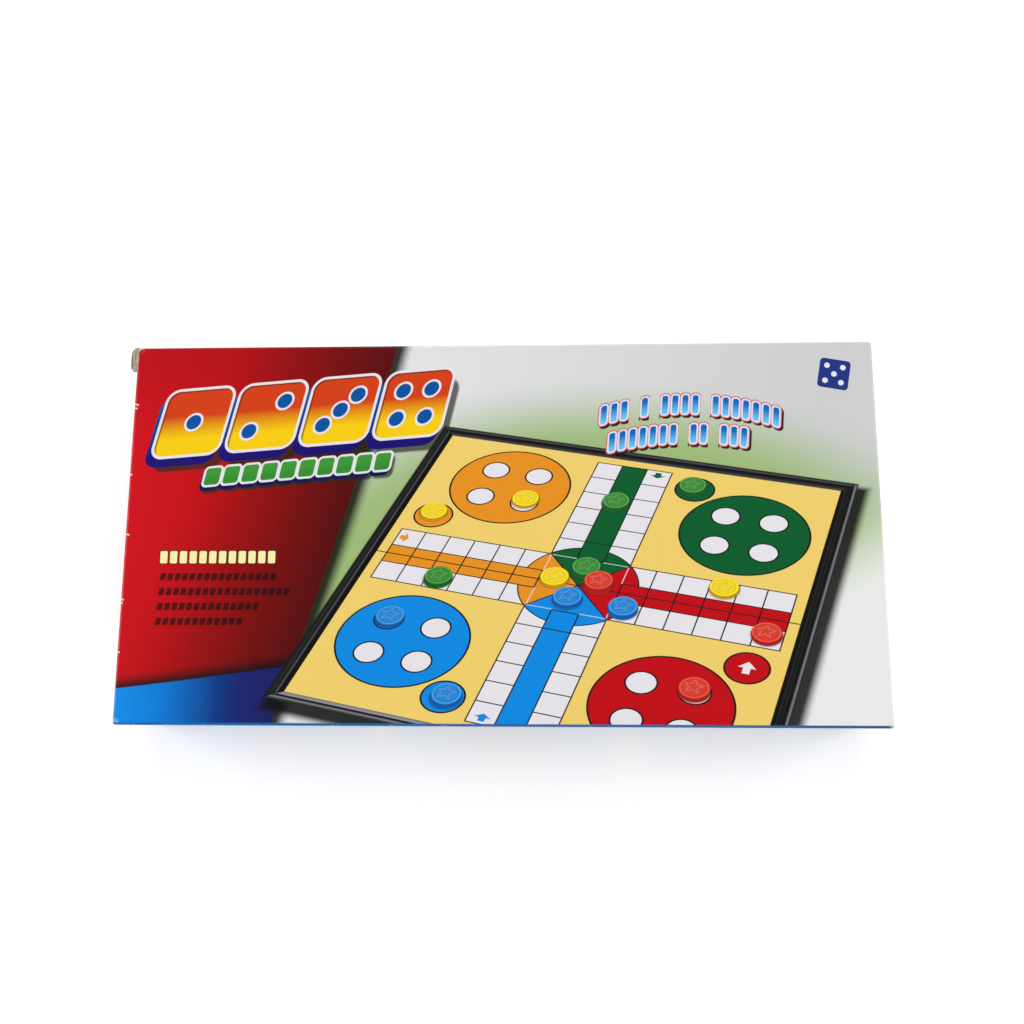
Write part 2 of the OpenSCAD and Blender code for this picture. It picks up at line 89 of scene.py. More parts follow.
class Value:
    """A socket in a finish. An expression on it adds the Math nodes."""

    def __init__(self, finish, socket):
        self.finish, self.socket = finish, socket

    def maths(self, operation, *others, clamp=False):
        return self.finish.node("Math", {"operation": operation, "use_clamp": clamp}, (self,) + others)

    def __add__(self, other): return self.maths("ADD", other)
    def __radd__(self, other): return self.maths("ADD", other)
    def __sub__(self, other): return self.maths("SUBTRACT", other)
    def __rsub__(self, other): return self.maths("MULTIPLY_ADD", -1.0, other)
    def __mul__(self, other): return self.maths("MULTIPLY", other)
    def __rmul__(self, other): return self.maths("MULTIPLY", other)
    def __truediv__(self, other): return self.maths("DIVIDE", other)
    def __neg__(self): return self.maths("MULTIPLY", -1.0)
    def __abs__(self): return self.maths("ABSOLUTE")
    def __gt__(self, other): return self.maths("GREATER_THAN", other)
    def __lt__(self, other): return self.maths("LESS_THAN", other)

    def least(self, other): return self.maths("MINIMUM", other)
    def most(self, other): return self.maths("MAXIMUM", other)
    def floor(self): return self.maths("FLOOR")

    def inside(self, soft):
        """1 where this distance is negative, with an edge as wide as soft"""
        return self.maths("MULTIPLY_ADD", -1.0 / soft, 0.5, clamp=True)

    def line(self, width, soft):
        return (abs(self) - width / 2).inside(soft)

    def ramp(self, start, end, smooth=False):
        """0 at start, 1 at end, and held beyond them"""
        kind = {"interpolation_type": "SMOOTHSTEP"} if smooth else {}
        return self.finish.node("MapRange", kind, {0: self, 1: start, 2: end})


class Finish:
    """A procedural material, or the world. node() makes every node, the rest are short forms of it."""

    def __init__(self, name, kind=bpy.data.materials):
        self.data = kind.new(name)
        self.data.use_nodes = True
        self.tree = self.data.node_tree
        self.tree.nodes.clear()

    def node(self, kind, settings=None, sockets=(), out=0):
        made = self.tree.nodes.new("ShaderNode" + kind)
        for key, value in (settings or {}).items():
            if key == "stops":
                ramp = made.color_ramp
                while len(ramp.elements) < len(value):
                    ramp.elements.new(0.5)
                for element, (place, colour) in zip(ramp.elements, value):
                    element.position, element.color = place, colour
            else:
                setattr(made, key, value)
        for key, value in (sockets.items() if isinstance(sockets, dict) else enumerate(sockets)):
            if isinstance(value, Value):
                self.tree.links.new(value.socket, made.inputs[key])
            else:
                made.inputs[key].default_value = value
        return Value(self, made.outputs[out]) if made.outputs else None

    def mix(self, factor, under, over):
        """Colour: under where factor is 0, over where it is 1"""
        return self.node("Mix", {"data_type": "RGBA"}, {0: factor, 6: under, 7: over}, out=2)

    def choose(self, factor, first, second):
        """Number: first where factor is 0, second where it is 1"""
        return self.node("Mix", {"data_type": "FLOAT"}, {0: factor, 2: first, 3: second})

    def spot(self, *axes):
        return self.node("CombineXYZ", None, axes)

    def length(self, *axes):
        return self.node("VectorMath", {"operation": "LENGTH"}, (self.spot(*axes),), out=1)

    def distance(self, spot, place):
        """Distance of a spot from a place given as two numbers"""
        return self.node("VectorMath", {"operation": "DISTANCE"}, (spot, (*place, 0.0)), out=1)

    def place(self):
        """Place on the piece, in millimetres of the shared frame with the lid closed"""
        at = self.node("TexCoord", None, (), out="Object")
        at = self.node("VectorMath", {"operation": "SCALE"}, {0: at, 3: 1 / MM})
        return [self.node("SeparateXYZ", None, (at,), out=i) for i in range(3)]

    def noise(self, scale, detail=2.0, stretch=(1, 1, 1)):
        """Noise, 0 to 1, whose scale is in features per millimetre"""
        at = self.node("TexCoord", None, (), out="Object")
        at = self.node("Mapping", None, {0: at, 3: tuple(s / MM for s in stretch)})
        return self.node("TexNoise", None, {"Vector": at, "Scale": scale, "Detail": detail})

    def surface(self, bump=None, bump_height=0.02, **sockets):
        """Ends the finish in a Principled shader. bump is a height, of bump_height millimetres."""
        sockets = {key.replace("_", " "): value for key, value in sockets.items()}
        if bump is not None:
            sockets["Normal"] = self.node("Bump", None, {"Strength": 1.0, "Distance": bump_height * MM,
                                                         "Height": bump})
        self.node("OutputMaterial", None, (self.node("BsdfPrincipled", None, sockets),))
        return self.data


def nearest(distances):
    return functools.reduce(Value.least, distances)


def paint(red, green, blue):
    """A printed colour, given as 0 to 255, as a shader needs it"""
    def linear(level):
        level /= 255
        return level / 12.92 if level <= 0.04045 else ((level + 0.055) / 1.055) ** 2.4
    return (linear(red), linear(green), linear(blue), 1.0)


INK = paint(22, 20, 24)
WHITE = paint(230, 227, 232)
YELLOW_FIELD = paint(239, 206, 108)
ORANGE = paint(229, 144, 30)
GREEN = paint(0, 92, 44)
RED = paint(192, 2, 16)
BLUE = paint(2, 136, 224)


# the ludo board's print

# the print's round forms, in squares: places along and across the arm beside them, and radii. The
# yards of two quarters lie a little nearer to their arm.
YARD_ALONG, YARD_ACROSS, YARD_NEARER, YARD_R = 4.4, 5.11, 5.01, 2.37
HOLE_OFFSET, HOLE_R = 0.9, 0.53
START_ALONG, START_ACROSS, START_R = 6.65, 2.6, 0.745
MIDDLE_R = 2.16


def rounded_box(f, x, y, half_w, half_h, radius):
    """Distance from a rounded box round the origin"""
    dx, dy = abs(x) - (half_w - radius), abs(y) - (half_h - radius)
    outside = f.length(dx.most(0.0), dy.most(0.0))
    return outside + dx.most(dy).least(0.0) - radius


def arrow(f, along, across, size):
    """Distance from an arrow that points along its first axis"""
    side = abs(across)
    head = (side + along - 0.5 * size).most(-along)
    shaft = (side - 0.2 * size).most(abs(along + 0.22 * size) - 0.24 * size)
    return head.least(shaft)


def star_shape(f, x, y, tip, notch):
    """Distance from a star of five points, given the radius to its points and to its notches"""
    points = 5
    half_turn = math.pi / points
    turn = x.maths("ARCTAN2", y) / (2 * half_turn)
    from_tip = turn.maths("PINGPONG", 0.5) * (2 * half_turn)
    far = f.length(x, y)
    along, across = far * from_tip.maths("COSINE"), far * from_tip.maths("SINE")
    edge = (notch * math.cos(half_turn) - tip, notch * math.sin(half_turn))
    edge_length = math.hypot(*edge)
    return (along - tip) * (edge[1] / edge_length) - across * (edge[0] / edge_length)


def ludo_print(f, u, v, soft, ink):
    """Colour of the board's print at u to the right and v away from its middle, in squares"""
    to_right, away = u > 0.0, v > 0.0
    side_u, side_v = abs(u), abs(v)
    upright = side_v > side_u
    yard_colour = f.mix(away, f.mix(to_right, BLUE, RED), f.mix(to_right, ORANGE, GREEN))
    arm_colour = f.mix(upright, f.mix(to_right, ORANGE, RED), f.mix(away, BLUE, GREEN))

    # each quarter is the one before it, turned: p runs along its arm, q across it
    turned = (u * v) > 0.0
    p = f.choose(turned, side_u, side_v)
    q = f.choose(turned, side_v, side_u)

    # yards with four holes, and the start rings
    colour = YELLOW_FIELD
    yard_p, yard_q = p - YARD_ALONG, q - f.choose(turned, YARD_ACROSS, YARD_NEARER)
    yard = f.length(yard_p, yard_q) - YARD_R
    hole = f.length(abs(yard_p) - HOLE_OFFSET, abs(yard_q) - HOLE_OFFSET) - HOLE_R
    start = f.length(p - START_ALONG, q - START_ACROSS) - START_R
    colour = f.mix(yard.least(start).inside(soft), colour, yard_colour)
    pointer = arrow(f, START_ACROSS - q, p - START_ALONG, 0.62)
    colour = f.mix(hole.least(pointer).inside(soft), colour, WHITE)
    colour = f.mix(yard.least(start).line(ink * 1.4, soft).most(hole.line(ink * 1.3, soft)), colour, INK)

    # arms of squares, and the arrow that leads into each
    along, across = side_u.most(side_v), side_u.least(side_v)
    arm = (across - 1.5).most(abs(along - 4.5) - 3.0)
    beam = (across - 0.5).most(abs(along - 4.5) - 3.0)
    colour = f.mix(arm.inside(soft), colour, WHITE)
    colour = f.mix(arrow(f, (7.2 - p) * 1.6, q - 1.0, 0.6).inside(soft), colour, yard_colour)
    rung = abs((along - 0.5).maths("PINGPONG", 0.5)) - ink / 2
    rungs = rung.most(arm).inside(soft)
    colour = f.mix(rungs.most(arm.line(ink, soft)), colour, INK)

    # middle circle in four colours, then the coloured beams over it
    middle = f.length(u, v) - MIDDLE_R
    colour = f.mix(middle.inside(soft), colour, arm_colour)
    colour = f.mix(middle.line(ink, soft), colour, INK)
    colour = f.mix(beam.inside(soft), colour, arm_colour)
    crossing = rung.most(beam).inside(soft) * (1 - upright * (along > 2.7))
    colour = f.mix(crossing.most(beam.line(ink, soft)), colour, INK)
    corner_line = (abs(side_u - side_v) - ink * 0.7).most(along - 1.5)
    square = (abs(along - 1.47) - ink * 0.4).most(across - 1.47).most(0.5 - across)
    colour = f.mix(square.inside(soft) * 0.7, colour, WHITE)
    colour = f.mix(corner_line.inside(soft), colour, INK)
    return f.mix(v.line(ink, soft), colour, INK)


# the printed cover

# softness of the print's edges, in millimetres
PRINT_EDGE = 0.12
# corners of the pictured board's squares on the face, in millimetres to the right and to the front of
# the face's back left corner: back left, back right, front right, front left
PICTURED_CORNERS = [(113.48, 34.82), (237.55, 53.85), (205.0, 146.1), (62.1, 117.05)]
# in squares: inner edge of its frame bar from its middle, width of the bar on each side, and how far
# a disc's top is drawn from its foot
PICTURED_BAR = 7.9
LEFT_W, RIGHT_W, NEAR_W, FAR_W = 0.58, 0.57, 0.45, 0.6
DISC_LIFT = (-0.08, 0.33)
# the pictured discs: place in squares, and how much of the side shows
PICTURED_DISCS = {
    "yellow": [(-6.66, 2.56, 0.42), (-3.47, 4.2, 0.42), (-0.9, -0.03, 0.42), (5.07, 0.95, 0.42)],
    "green": [(2.53, 6.62, 0.7), (-0.05, 4.93, 0.7), (0.04, 0.82, 0.7), (-5.02, -1.07, 0.7)],
    "red": [(0.7, 0.17, 0.95), (6.98, -1.02, 0.5), (5.3, -4.3, 0.5)],
    "blue": [(-5.87, -3.62, 0.55), (-0.11, -0.97, 0.65), (1.93, -0.98, 0.65), (-2.46, -6.8, 0.6)],
}
# the paint of a disc's top, of its side and of its raised rim
DISC_PAINTS = {
    "yellow": (paint(246, 216, 18), paint(206, 158, 10), paint(252, 234, 70)),
    "green": (paint(58, 142, 54), paint(24, 96, 34), paint(110, 178, 92)),
    "red": (paint(222, 60, 42), paint(176, 28, 26), paint(240, 104, 84)),
    "blue": (paint(34, 136, 216), paint(12, 96, 176), paint(96, 176, 236)),
}


def side_stops(*levels):
    """A ramp of greys over a frame bar: places from its inner edge, 0 to 1, and their greys"""
    return {"stops": [(place, paint(grey, grey, grey * 1.06)) for place, grey in levels]}


# the frame bar's ridges, groove and slopes, by the side they are on
NEAR_BAR = side_stops((0.0, 60), (0.08, 128), (0.3, 150), (0.36, 22), (0.5, 20), (0.58, 92),
                      (0.68, 132), (0.76, 70), (0.9, 46), (1.0, 24))
FAR_BAR = side_stops((0.0, 76), (0.25, 46), (0.4, 12), (0.64, 14), (0.72, 74), (0.86, 50), (1.0, 30))
LEFT_BAR = side_stops((0.0, 4), (0.34, 6), (0.42, 80), (0.48, 60), (0.54, 10), (0.66, 30), (0.72, 40),
                      (0.8, 26), (1.0, 20))
RIGHT_BAR = side_stops((0.0, 5), (0.22, 9), (0.3, 38), (0.37, 12), (0.54, 28), (0.6, 8), (0.74, 14),
                       (0.86, 128), (0.93, 62), (1.0, 20))


def face_to_board(corners):
    """Three rows of numbers that take a place on the face to squares of the pictured board"""
    reach = BOARD_CELLS / 2
    squares = [(-reach, reach), (reach, reach), (reach, -reach), (-reach, -reach)]
    rows, values = [], []
    for (x, y), (u, v) in zip(corners, squares):
        rows.append([x, y, 1, 0, 0, 0, -u * x, -u * y])
        rows.append([0, 0, 0, x, y, 1, -v * x, -v * y])
        values += [u, v]
    solved = np.linalg.solve(np.array(rows), np.array(values))
    return [[float(number) for number in row] for row in (*solved[:6].reshape(2, 3), (*solved[6:], 1.0))]


def pictured_frame(f, u, v):
    """The frame bar's colour, of four mitred sides, and its place: 0 at its inner edge, 1 at its outer"""
    side_u = ((u - PICTURED_BAR) / RIGHT_W).most((u + PICTURED_BAR) / -LEFT_W)
    side_v = ((v - PICTURED_BAR) / FAR_W).most((v + PICTURED_BAR) / -NEAR_W)
    bar = side_u.most(side_v)
    left, right, near, far = (f.node("ValToRGB", stops, (bar,))
                              for stops in (LEFT_BAR, RIGHT_BAR, NEAR_BAR, FAR_BAR))
    return f.mix(side_v > side_u, f.mix(u > 0.0, left, right), f.mix(v > 0.0, near, far)), bar


def pictured_discs(f, u, v, under):
    """Discs on the pictured board: a shadow, the side in two tiers, the top with its raised rim and
    a star"""
    spot = f.spot(u, v)
    star_x, star_y, star_tops = [], [], []
    for name, places in PICTURED_DISCS.items():
        top_paint, side_paint, rim_paint = DISC_PAINTS[name]
        feet, tiers, tops = [], [], []
        for pu, pv, shown in places:
            middle_u, middle_v = pu + DISC_LIFT[0], pv + DISC_LIFT[1]
            for level, down in ((feet, shown), (tiers, 0.45 * shown), (tops, 0.0)):
                level.append(f.distance(spot, (middle_u - down * DISC_LIFT[0],
                                               middle_v - down * DISC_LIFT[1])))
            on_top = tops[-1] < 0.46
            star_x.append((u - middle_u) * on_top)
            star_y.append((v - middle_v) * on_top)
        foot, tier, top = nearest(feet), nearest(tiers), nearest(tops)
        under = f.mix(foot.ramp(0.62, 0.5, smooth=True) * 0.7, under, INK)
        under = f.mix((foot.least(tier) - 0.53).inside(0.03), under, side_paint)
        under = f.mix((tier - 0.52).line(0.03, 0.03) * 0.6, under, INK)
        under = f.mix((tier - 0.5).inside(0.03), under, side_paint)
        under = f.mix((top - 0.51).inside(0.03), under, top_paint)
        under = f.mix((top - 0.46).line(0.04, 0.05) * 0.75, under, rim_paint)
        under = f.mix((top - 0.4).line(0.03, 0.03) * 0.5, under, side_paint)
        star_tops.append((top - 0.38).inside(0.02))
    star_x, star_y, on_top = sum(star_x), sum(star_y), functools.reduce(Value.most, star_tops)
    star = star_shape(f, star_x, star_y, 0.33, 0.15)
    lit = star_shape(f, star_x + 0.03, star_y - 0.035, 0.33, 0.15)
    under = f.mix(lit.line(0.03, 0.05) * on_top * 0.2, under, WHITE)
    return f.mix(star.line(0.03, 0.05) * on_top * 0.3, under, INK)


def pictured_board(f, x, y, under):
    """The open board with its discs, drawn in perspective over the print"""
    across, along, depth = (x * row[0] + y * row[1] + row[2] for row in face_to_board(PICTURED_CORNERS))
    u, v = across / depth, along / depth
    colour = ludo_print(f, u, v, 0.012, 0.05)
    bar_colour, bar = pictured_frame(f, u, v)
    colour = f.mix((-bar).inside(0.03), colour, bar_colour)
    shadow = (abs(u - 0.25) - 8.4).most(abs(v + 0.3) - 8.35)
    under = f.mix(shadow.ramp(0.45, 0.05, smooth=True) * 0.97, under, paint(8, 8, 12))
    under = f.mix((bar - 1).inside(0.08), under, colour)
    return pictured_discs(f, u, v, under)


def tile_row(f, x, y, start, slope, slant, pitch, count, half_w, half_h, radius, bend=0.0):
    """Distance from a row of slanted tiles, with the place in a tile and the tile's number"""
    rise = (start[1] - y) - slope * (x - start[0])
    run = x - start[0] - slant * rise
    if bend:
        off = run - pitch * count / 2
        rise = rise + off * off * bend
    number = (run / pitch).floor().most(0.0).least(count - 1.0)
    across = run - (number + 0.5) * pitch
    up = rise - half_h
    return rounded_box(f, across, up, half_w, half_h, radius), across, up, number


def raised_row(f, x, y, under, row, outline, drop, face_paints, side_paints):
    """A row of thick tiles: a soft shadow, a side to the lower left, a white outline and a face.
    Each pair of paints is at the top and at the foot."""
    far, across, up, number = tile_row(f, x, y, **row)
    side = nearest([tile_row(f, x + drop[0] * part, y - drop[1] * part, **row)[0]
                    for part in (0.25, 0.5, 0.75, 1.0)])
    shade = tile_row(f, x - drop[0] * 0.55, y - drop[1] * 1.45, **row)[0]
    under = f.mix((shade - outline).ramp(0.8, -0.3, smooth=True) * 0.85, under, paint(30, 34, 22))
    half_h = row["half_h"]
    side_colour = f.mix(up.ramp(-half_h, half_h), side_paints[1], side_paints[0])
    under = f.mix((side - outline).inside(PRINT_EDGE), under, side_colour)
    under = f.mix((far - outline).inside(PRINT_EDGE), under, WHITE)
    face = f.mix(up.ramp(-0.5 * half_h, 0.2 * half_h), face_paints[1], face_paints[0])
    return f.mix(far.inside(PRINT_EDGE), under, face), far, across, up, number


# rows of tiles in the place of the print's lettering, in millimetres on the face. start is the foot
# of the first tile, slope the rise of the row, slant the lean of its tiles, bend the bow of its line
TITLE_ROW = dict(start=(6.0, 39.7), slope=0.08, slant=0.24, pitch=25.5, count=4, half_w=11.3,
                 half_h=11.3, radius=3.6)
SUBTITLE_ROW = dict(start=(25.3, 49.6), slope=0.085, slant=0.2, pitch=6.5, count=10, half_w=2.6,
                    half_h=2.9, radius=1.0)
HEADING_ROW = dict(start=(12.3, 76.4), slope=0.0, slant=0.0, pitch=3.35, count=12, half_w=1.25,
                   half_h=2.1, radius=0.5)
# two bowed rows, with the tiles that each leaves out
SLOGAN_ROWS = [
    (dict(start=(161.5, 24.6), slope=-0.017, slant=0.08, pitch=3.43, count=18, half_w=1.0, half_h=3.2,
          radius=0.7, bend=0.0048), (3, 5, 10)),
    (dict(start=(164.0, 36.3), slope=0.035, slant=0.08, pitch=3.43, count=14, half_w=1.0, half_h=3.2,
          radius=0.7, bend=0.0042), (7, 10)),
]
# the foot of each row of small tiles, and its count
READING_ROWS = [(82.2, 16), (87.2, 18), (92.2, 14), (97.2, 12)]
BADGE_PLACE = (241.6, 11.6)
BADGE_TURN = math.radians(10)


def title_tiles(f, x, y, under):
    """Four big slanted dice faces in the place of the title, small green ones below"""
    under, far, across, up, number = raised_row(
        f, x, y, under, TITLE_ROW, 0.95, (1.9, 3.0), (paint(210, 62, 16), paint(246, 204, 6)),
        (paint(0, 92, 172), paint(22, 6, 112)))
    hollow = tile_row(f, x - 0.5, y - 0.45, **TITLE_ROW)[0]
    under = f.mix(far.inside(PRINT_EDGE) * (-hollow).inside(0.3) * 0.75, under, paint(84, 30, 6))
    # one to four pips; those that a tile lacks are moved far off
    lean, cross = (across + up) * math.sqrt(0.5), (across - up) * math.sqrt(0.5)
    spread, pip_r, never = 6.9, 2.5, 99.0
    centre = f.length(across, up) + (number.maths("MODULO", 2.0) > 0.5) * never
    pair = f.length(abs(lean) - spread, cross) + (number < 0.5) * never
    other = f.length(lean, abs(cross) - spread) + (number < 2.5) * never
    pip = centre.least(pair).least(other) - pip_r
    under = f.mix((pip - 0.75).inside(PRINT_EDGE), under, WHITE)
    under = f.mix(pip.inside(PRINT_EDGE), under, paint(0, 80, 158))
    return raised_row(
        f, x, y, under, SUBTITLE_ROW, 0.75, (0.7, 1.3), (paint(60, 150, 52), paint(52, 140, 46)),
        (paint(14, 60, 130), paint(10, 8, 84)))[0]


def slogan_tiles(f, x, y, under):
    """Two bowed rows of narrow blue tiles with a pale and a red edge, with a gap at some tiles"""
    for row, gaps in SLOGAN_ROWS:
        far, _, up, number = tile_row(f, x, y, **row)
        shade = tile_row(f, x - 0.6, y - 0.7, **row)[0]
        for gap in gaps:
            left_out = (abs(number - gap) < 0.5) * 3.0
            far, shade = far + left_out, shade + left_out
        under = f.mix((shade - 0.95).inside(0.3), under, paint(48, 14, 16))
        under = f.mix((far - 0.95).inside(PRINT_EDGE), under, paint(204, 96, 92))
        under = f.mix((far - 0.6).inside(PRINT_EDGE), under, paint(226, 222, 240))
        face = f.mix(up.ramp(-2.6, 1.6), paint(104, 196, 240), paint(6, 104, 186))
        under = f.mix(far.inside(PRINT_EDGE), under, face)
    return under


def die_badge(f, x, y, under):
    """A plain dark blue die face in the far corner"""
    dx, dy = x - BADGE_PLACE[0], y - BADGE_PLACE[1]
    sine, cosine = math.sin(BADGE_TURN), math.cos(BADGE_TURN)
    turn_x, turn_y = dx * cosine + dy * sine, dy * cosine - dx * sine
    far = rounded_box(f, turn_x, turn_y, 5.2, 5.2, 1.3)
    pip = f.length(abs(turn_x) - 2.7, abs(turn_y) - 2.7).least(f.length(turn_x, turn_y)) - 0.95
    under = f.mix(far.inside(PRINT_EDGE), under, paint(30, 52, 128))
    return f.mix(pip.inside(PRINT_EDGE), under, WHITE)


def reading_rows(f, x, y, under):
    """On the red panel, a row of cream tiles in the place of the heading, and four rows of small dark
    ones in the place of the reading text"""
    for foot, count in READING_ROWS:
        far = tile_row(f, x, y, start=(12.6 - (foot - 82.0) * 0.05, foot), slope=0.0, slant=0.2,
                       pitch=2.5, count=count, half_w=0.95, half_h=1.25, radius=0.5)[0]
        under = f.mix(far.inside(0.3) * 0.85, under, paint(34, 0, 4))
    heading = tile_row(f, x, y, **HEADING_ROW)[0]
    under = f.mix((heading - 0.3).inside(0.5), under, paint(70, 0, 6))
    return f.mix(heading.inside(0.15), under, paint(246, 240, 170))


def front_side(f, x, up):
    """The blue front side, with four plain counters on each side of the latch; up is from its middle"""
    colour = f.mix(x.ramp(0.0, BOX_W), paint(0, 108, 186), paint(12, 86, 140))
    first, pitch, counter_r = 44.0, 19.0, 4.1
    run = abs(x - BOX_W / 2) - first
    number = (run / pitch + 0.5).floor().most(0.0).least(3.0)
    across = run - number * pitch
    far = f.length(across, up)
    tone = DISC_PAINTS["yellow"][0]
    for i, name in enumerate(("green", "red", "blue")):
        tone = f.mix(number > i + 0.5, tone, DISC_PAINTS[name][0])
    shade = f.length(across - 0.4, up + 0.5) - counter_r - 0.1
    colour = f.mix(shade.ramp(0.5, -0.3, smooth=True) * 0.6, colour, INK)
    colour = f.mix((far - counter_r).inside(PRINT_EDGE), colour, WHITE)
    colour = f.mix((far - counter_r + 0.4).inside(PRINT_EDGE), colour, tone)
    star = star_shape(f, across, up, 2.3, 1.0)
    lines = (far - counter_r + 1.1).line(0.25, PRINT_EDGE).most(star.line(0.25, PRINT_EDGE))
    return f.mix(lines * 0.55, colour, INK)


def red_panel(f, x, y, under):
    """The red panel with a soft shadow beside it, and the blue wedge that shades its foot"""
    wedge_edge = 118.2 - x * 0.115 - x * x * 0.0003
    panel_edge = 92.0 - y * 0.26 - y * y * 0.00034
    beside, above = x - panel_edge, wedge_edge - y
    under = f.mix(beside.ramp(6.2, 1.2, smooth=True) * 0.97, under, paint(16, 24, 8))
    red = f.node("ValToRGB", {"stops": [
        (0.0, paint(208, 1, 20)), (0.3, paint(199, 1, 17)), (0.41, paint(188, 0, 12)),
        (0.59, paint(155, 0, 4)), (0.79, paint(118, 0, 1)), (1.0, paint(82, 0, 0))]},
        (beside.ramp(-85.0, 0.0),))
    # painted shade: the red is darkened towards the back edge of the face, as if less light falls there
    red = f.mix(y.ramp(40.0, 0.0, smooth=True) * 0.26, red, paint(96, 4, 8))
    red = f.mix(above.ramp(5.2, -0.3, smooth=True) * 0.95, red, paint(14, 6, 14))
    wedge = f.node("ValToRGB", {"stops": [
        (0.0, paint(0, 141, 229)), (0.25, paint(0, 122, 214)), (0.42, paint(0, 94, 177)),
        (0.58, paint(4, 53, 128)), (0.7, paint(22, 32, 108)), (1.0, paint(24, 24, 92))]},
        (x.ramp(0.0, 60.0),))
    under = f.mix(beside.inside(1.0), under, red)
    return f.mix(above.inside(0.4) * beside.inside(1.0), under, wedge)


def face_print(f, x, y, depth):
    """Colour of the lid's printed card, at x to the right and y to the front of its back left corner
    and at depth below the face"""
    # pale ground that turns green round the pictured board, and pale again beyond it
    glow = f.length((x - 160.0) / 112.0, (y - 85.0) / 61.0).ramp(0.78, 1.22, smooth=True)
    grey = f.mix(x.ramp(100.0, 235.0), paint(225, 225, 228), paint(206, 206, 207))
    colour = f.mix(glow, paint(157, 185, 120), grey)
    beyond = ((x - 150.0) * 0.55 + (y - 60.0)).ramp(48.0, 82.0, smooth=True)
    colour = f.mix(beyond, colour, paint(232, 234, 231))
    for layer in (red_panel, reading_rows, title_tiles, pictured_board, slogan_tiles, die_badge):
        colour = layer(f, x, y, colour)
    return f.mix((y - (BOX_D - FOLD_R)).inside(0.3), front_side(f, x, COVER_H / 2 - depth), colour)


# nicks in the left fold, by their place along it and how far they reach onto the face
NICKS = [(44.6, 1.7), (43.2, 1.3), (19.6, 1.1), (-1.2, 1.5), (-23.4, 1.2), (-24.6, 0.9), (-41.0, 1.0)]


def card_wear(f, x, y, depth):
    """Pale rubbing and nicks along the folds, at depth below the printed face"""
    side, end = BOX_W / 2 - abs(x), BOX_D / 2 - abs(y)
    fold, corner = depth.most(side.least(end)), side.most(end)
    grain = f.noise(0.7, 4.0)
    coarse = f.noise(0.09, 2.0)
    rubbed = fold.ramp(0.6, 0.1) * (coarse * 0.55 + grain * 0.6).ramp(0.64, 0.82)
    nicked = corner.ramp(2.6, 0.4) * (grain + coarse * 0.3).ramp(0.56, 0.7) * (1 - fold.ramp(0.6, 2.4))
    nick = nearest([(abs(y - place + side * 0.3) - 0.28).most(side - reach).most(x).most(depth - 1.0)
                    for place, reach in NICKS])
    return rubbed.most(nicked).most(nick.inside(0.25))


def glossy_card(f, colour, x, y, depth):
    """Ends a card's finish: its print, worn along the folds, under a thin gloss"""
    wear = card_wear(f, x, y, depth)
    colour = f.mix(wear * 0.85, colour, paint(232, 226, 216))
    ripple = f.noise(0.018, 2.0)
    paper = f.noise(1.6, 3.0)
    return f.surface(Base_Color=colour, Roughness=wear * 0.35 + paper * 0.06 + 0.3, IOR=1.5,
                     Specular_IOR_Level=0.12, Coat_Weight=(1 - wear) * 0.3, Coat_Roughness=0.1,
                     bump=ripple * 12 + paper * 0.06, bump_height=0.05)


def lid_card_finish():
    f = Finish("lid_printed_card")
    x, y, z = f.place()
    depth = BOX_H - z
    return glossy_card(f, face_print(f, x + BOX_W / 2, BOX_D / 2 - y, depth), x, y, depth)


def base_card_finish():
    """The underside's card: the same ground and red panel, with a flat view of the board"""
    f = Finish("base_printed_card")
    x, y, z = f.place()
    from_left, from_front = x + BOX_W / 2, y + BOX_D / 2
    glow = f.length(x * 0.7, y).ramp(44.0, 78.0, smooth=True)
    colour = f.mix(glow, paint(168, 204, 134), paint(214, 215, 216))
    edge = from_left - (64.0 - from_front * 0.2)
    red = f.mix(edge.ramp(-26.0, -1.0, smooth=True), paint(204, 0, 22), paint(96, 0, 6))
    colour = f.mix(edge.ramp(5.0, -0.5, smooth=True) * 0.9, colour, INK)
    colour = f.mix(edge.inside(0.8), colour, red)
    square = 6.2
    u, v = (x - 26.0) / square, y / -square
    reach = abs(u).most(abs(v))
    board = f.mix((reach - 8.0).inside(0.02), paint(16, 17, 20), ludo_print(f, u, v, 0.02, 0.05))
    colour = f.mix((reach - 8.5).inside(0.03), colour, board)
    colour = f.mix((from_front - FOLD_R).inside(0.3), colour,
                   front_side(f, from_left, z - COVER_H / 2))
    return glossy_card(f, colour, x, y, z)


def raw_board_finish():
    """Bare grey board of the card's cut edges and its torn flap"""
    f = Finish("raw_grey_board")
    fibre = f.noise(1.1, 5.0, (1.8, 0.5, 2.5))
    layer = f.noise(1.4, 2.0, (1, 0.08, 1))
    colour = f.mix(fibre.ramp(0.3, 0.7), paint(142, 132, 116), paint(196, 186, 170))
    colour = f.mix(layer.ramp(0.5, 0.62) * 0.7, colour, paint(84, 76, 62))
    return f.surface(Base_Color=colour, Roughness=0.92, bump=fibre, bump_height=0.12)


# plastics, metals and the field's labels

def field_finish(name, side):
    """The playing field's printed label; side is -1 for the base's half and 1 for the lid's"""
    f = Finish(name)
    x, y, _ = f.place()
    colour = ludo_print(f, x / CELL, (FOLD_Y - y) / CELL * side, 0.008, 0.03)
    paper = f.noise(2.2, 3.0)
    scuff = f.noise(0.05, 3.0, (1, 4, 1)).ramp(0.58, 0.8)
    colour = f.mix(paper * 0.05, colour, paint(150, 120, 70))
    return f.surface(Base_Color=colour, Roughness=scuff * 0.12 + paper * 0.08 + 0.3, IOR=1.48,
                     Coat_Weight=0.25, Coat_Roughness=0.2, bump=paper, bump_height=0.006)


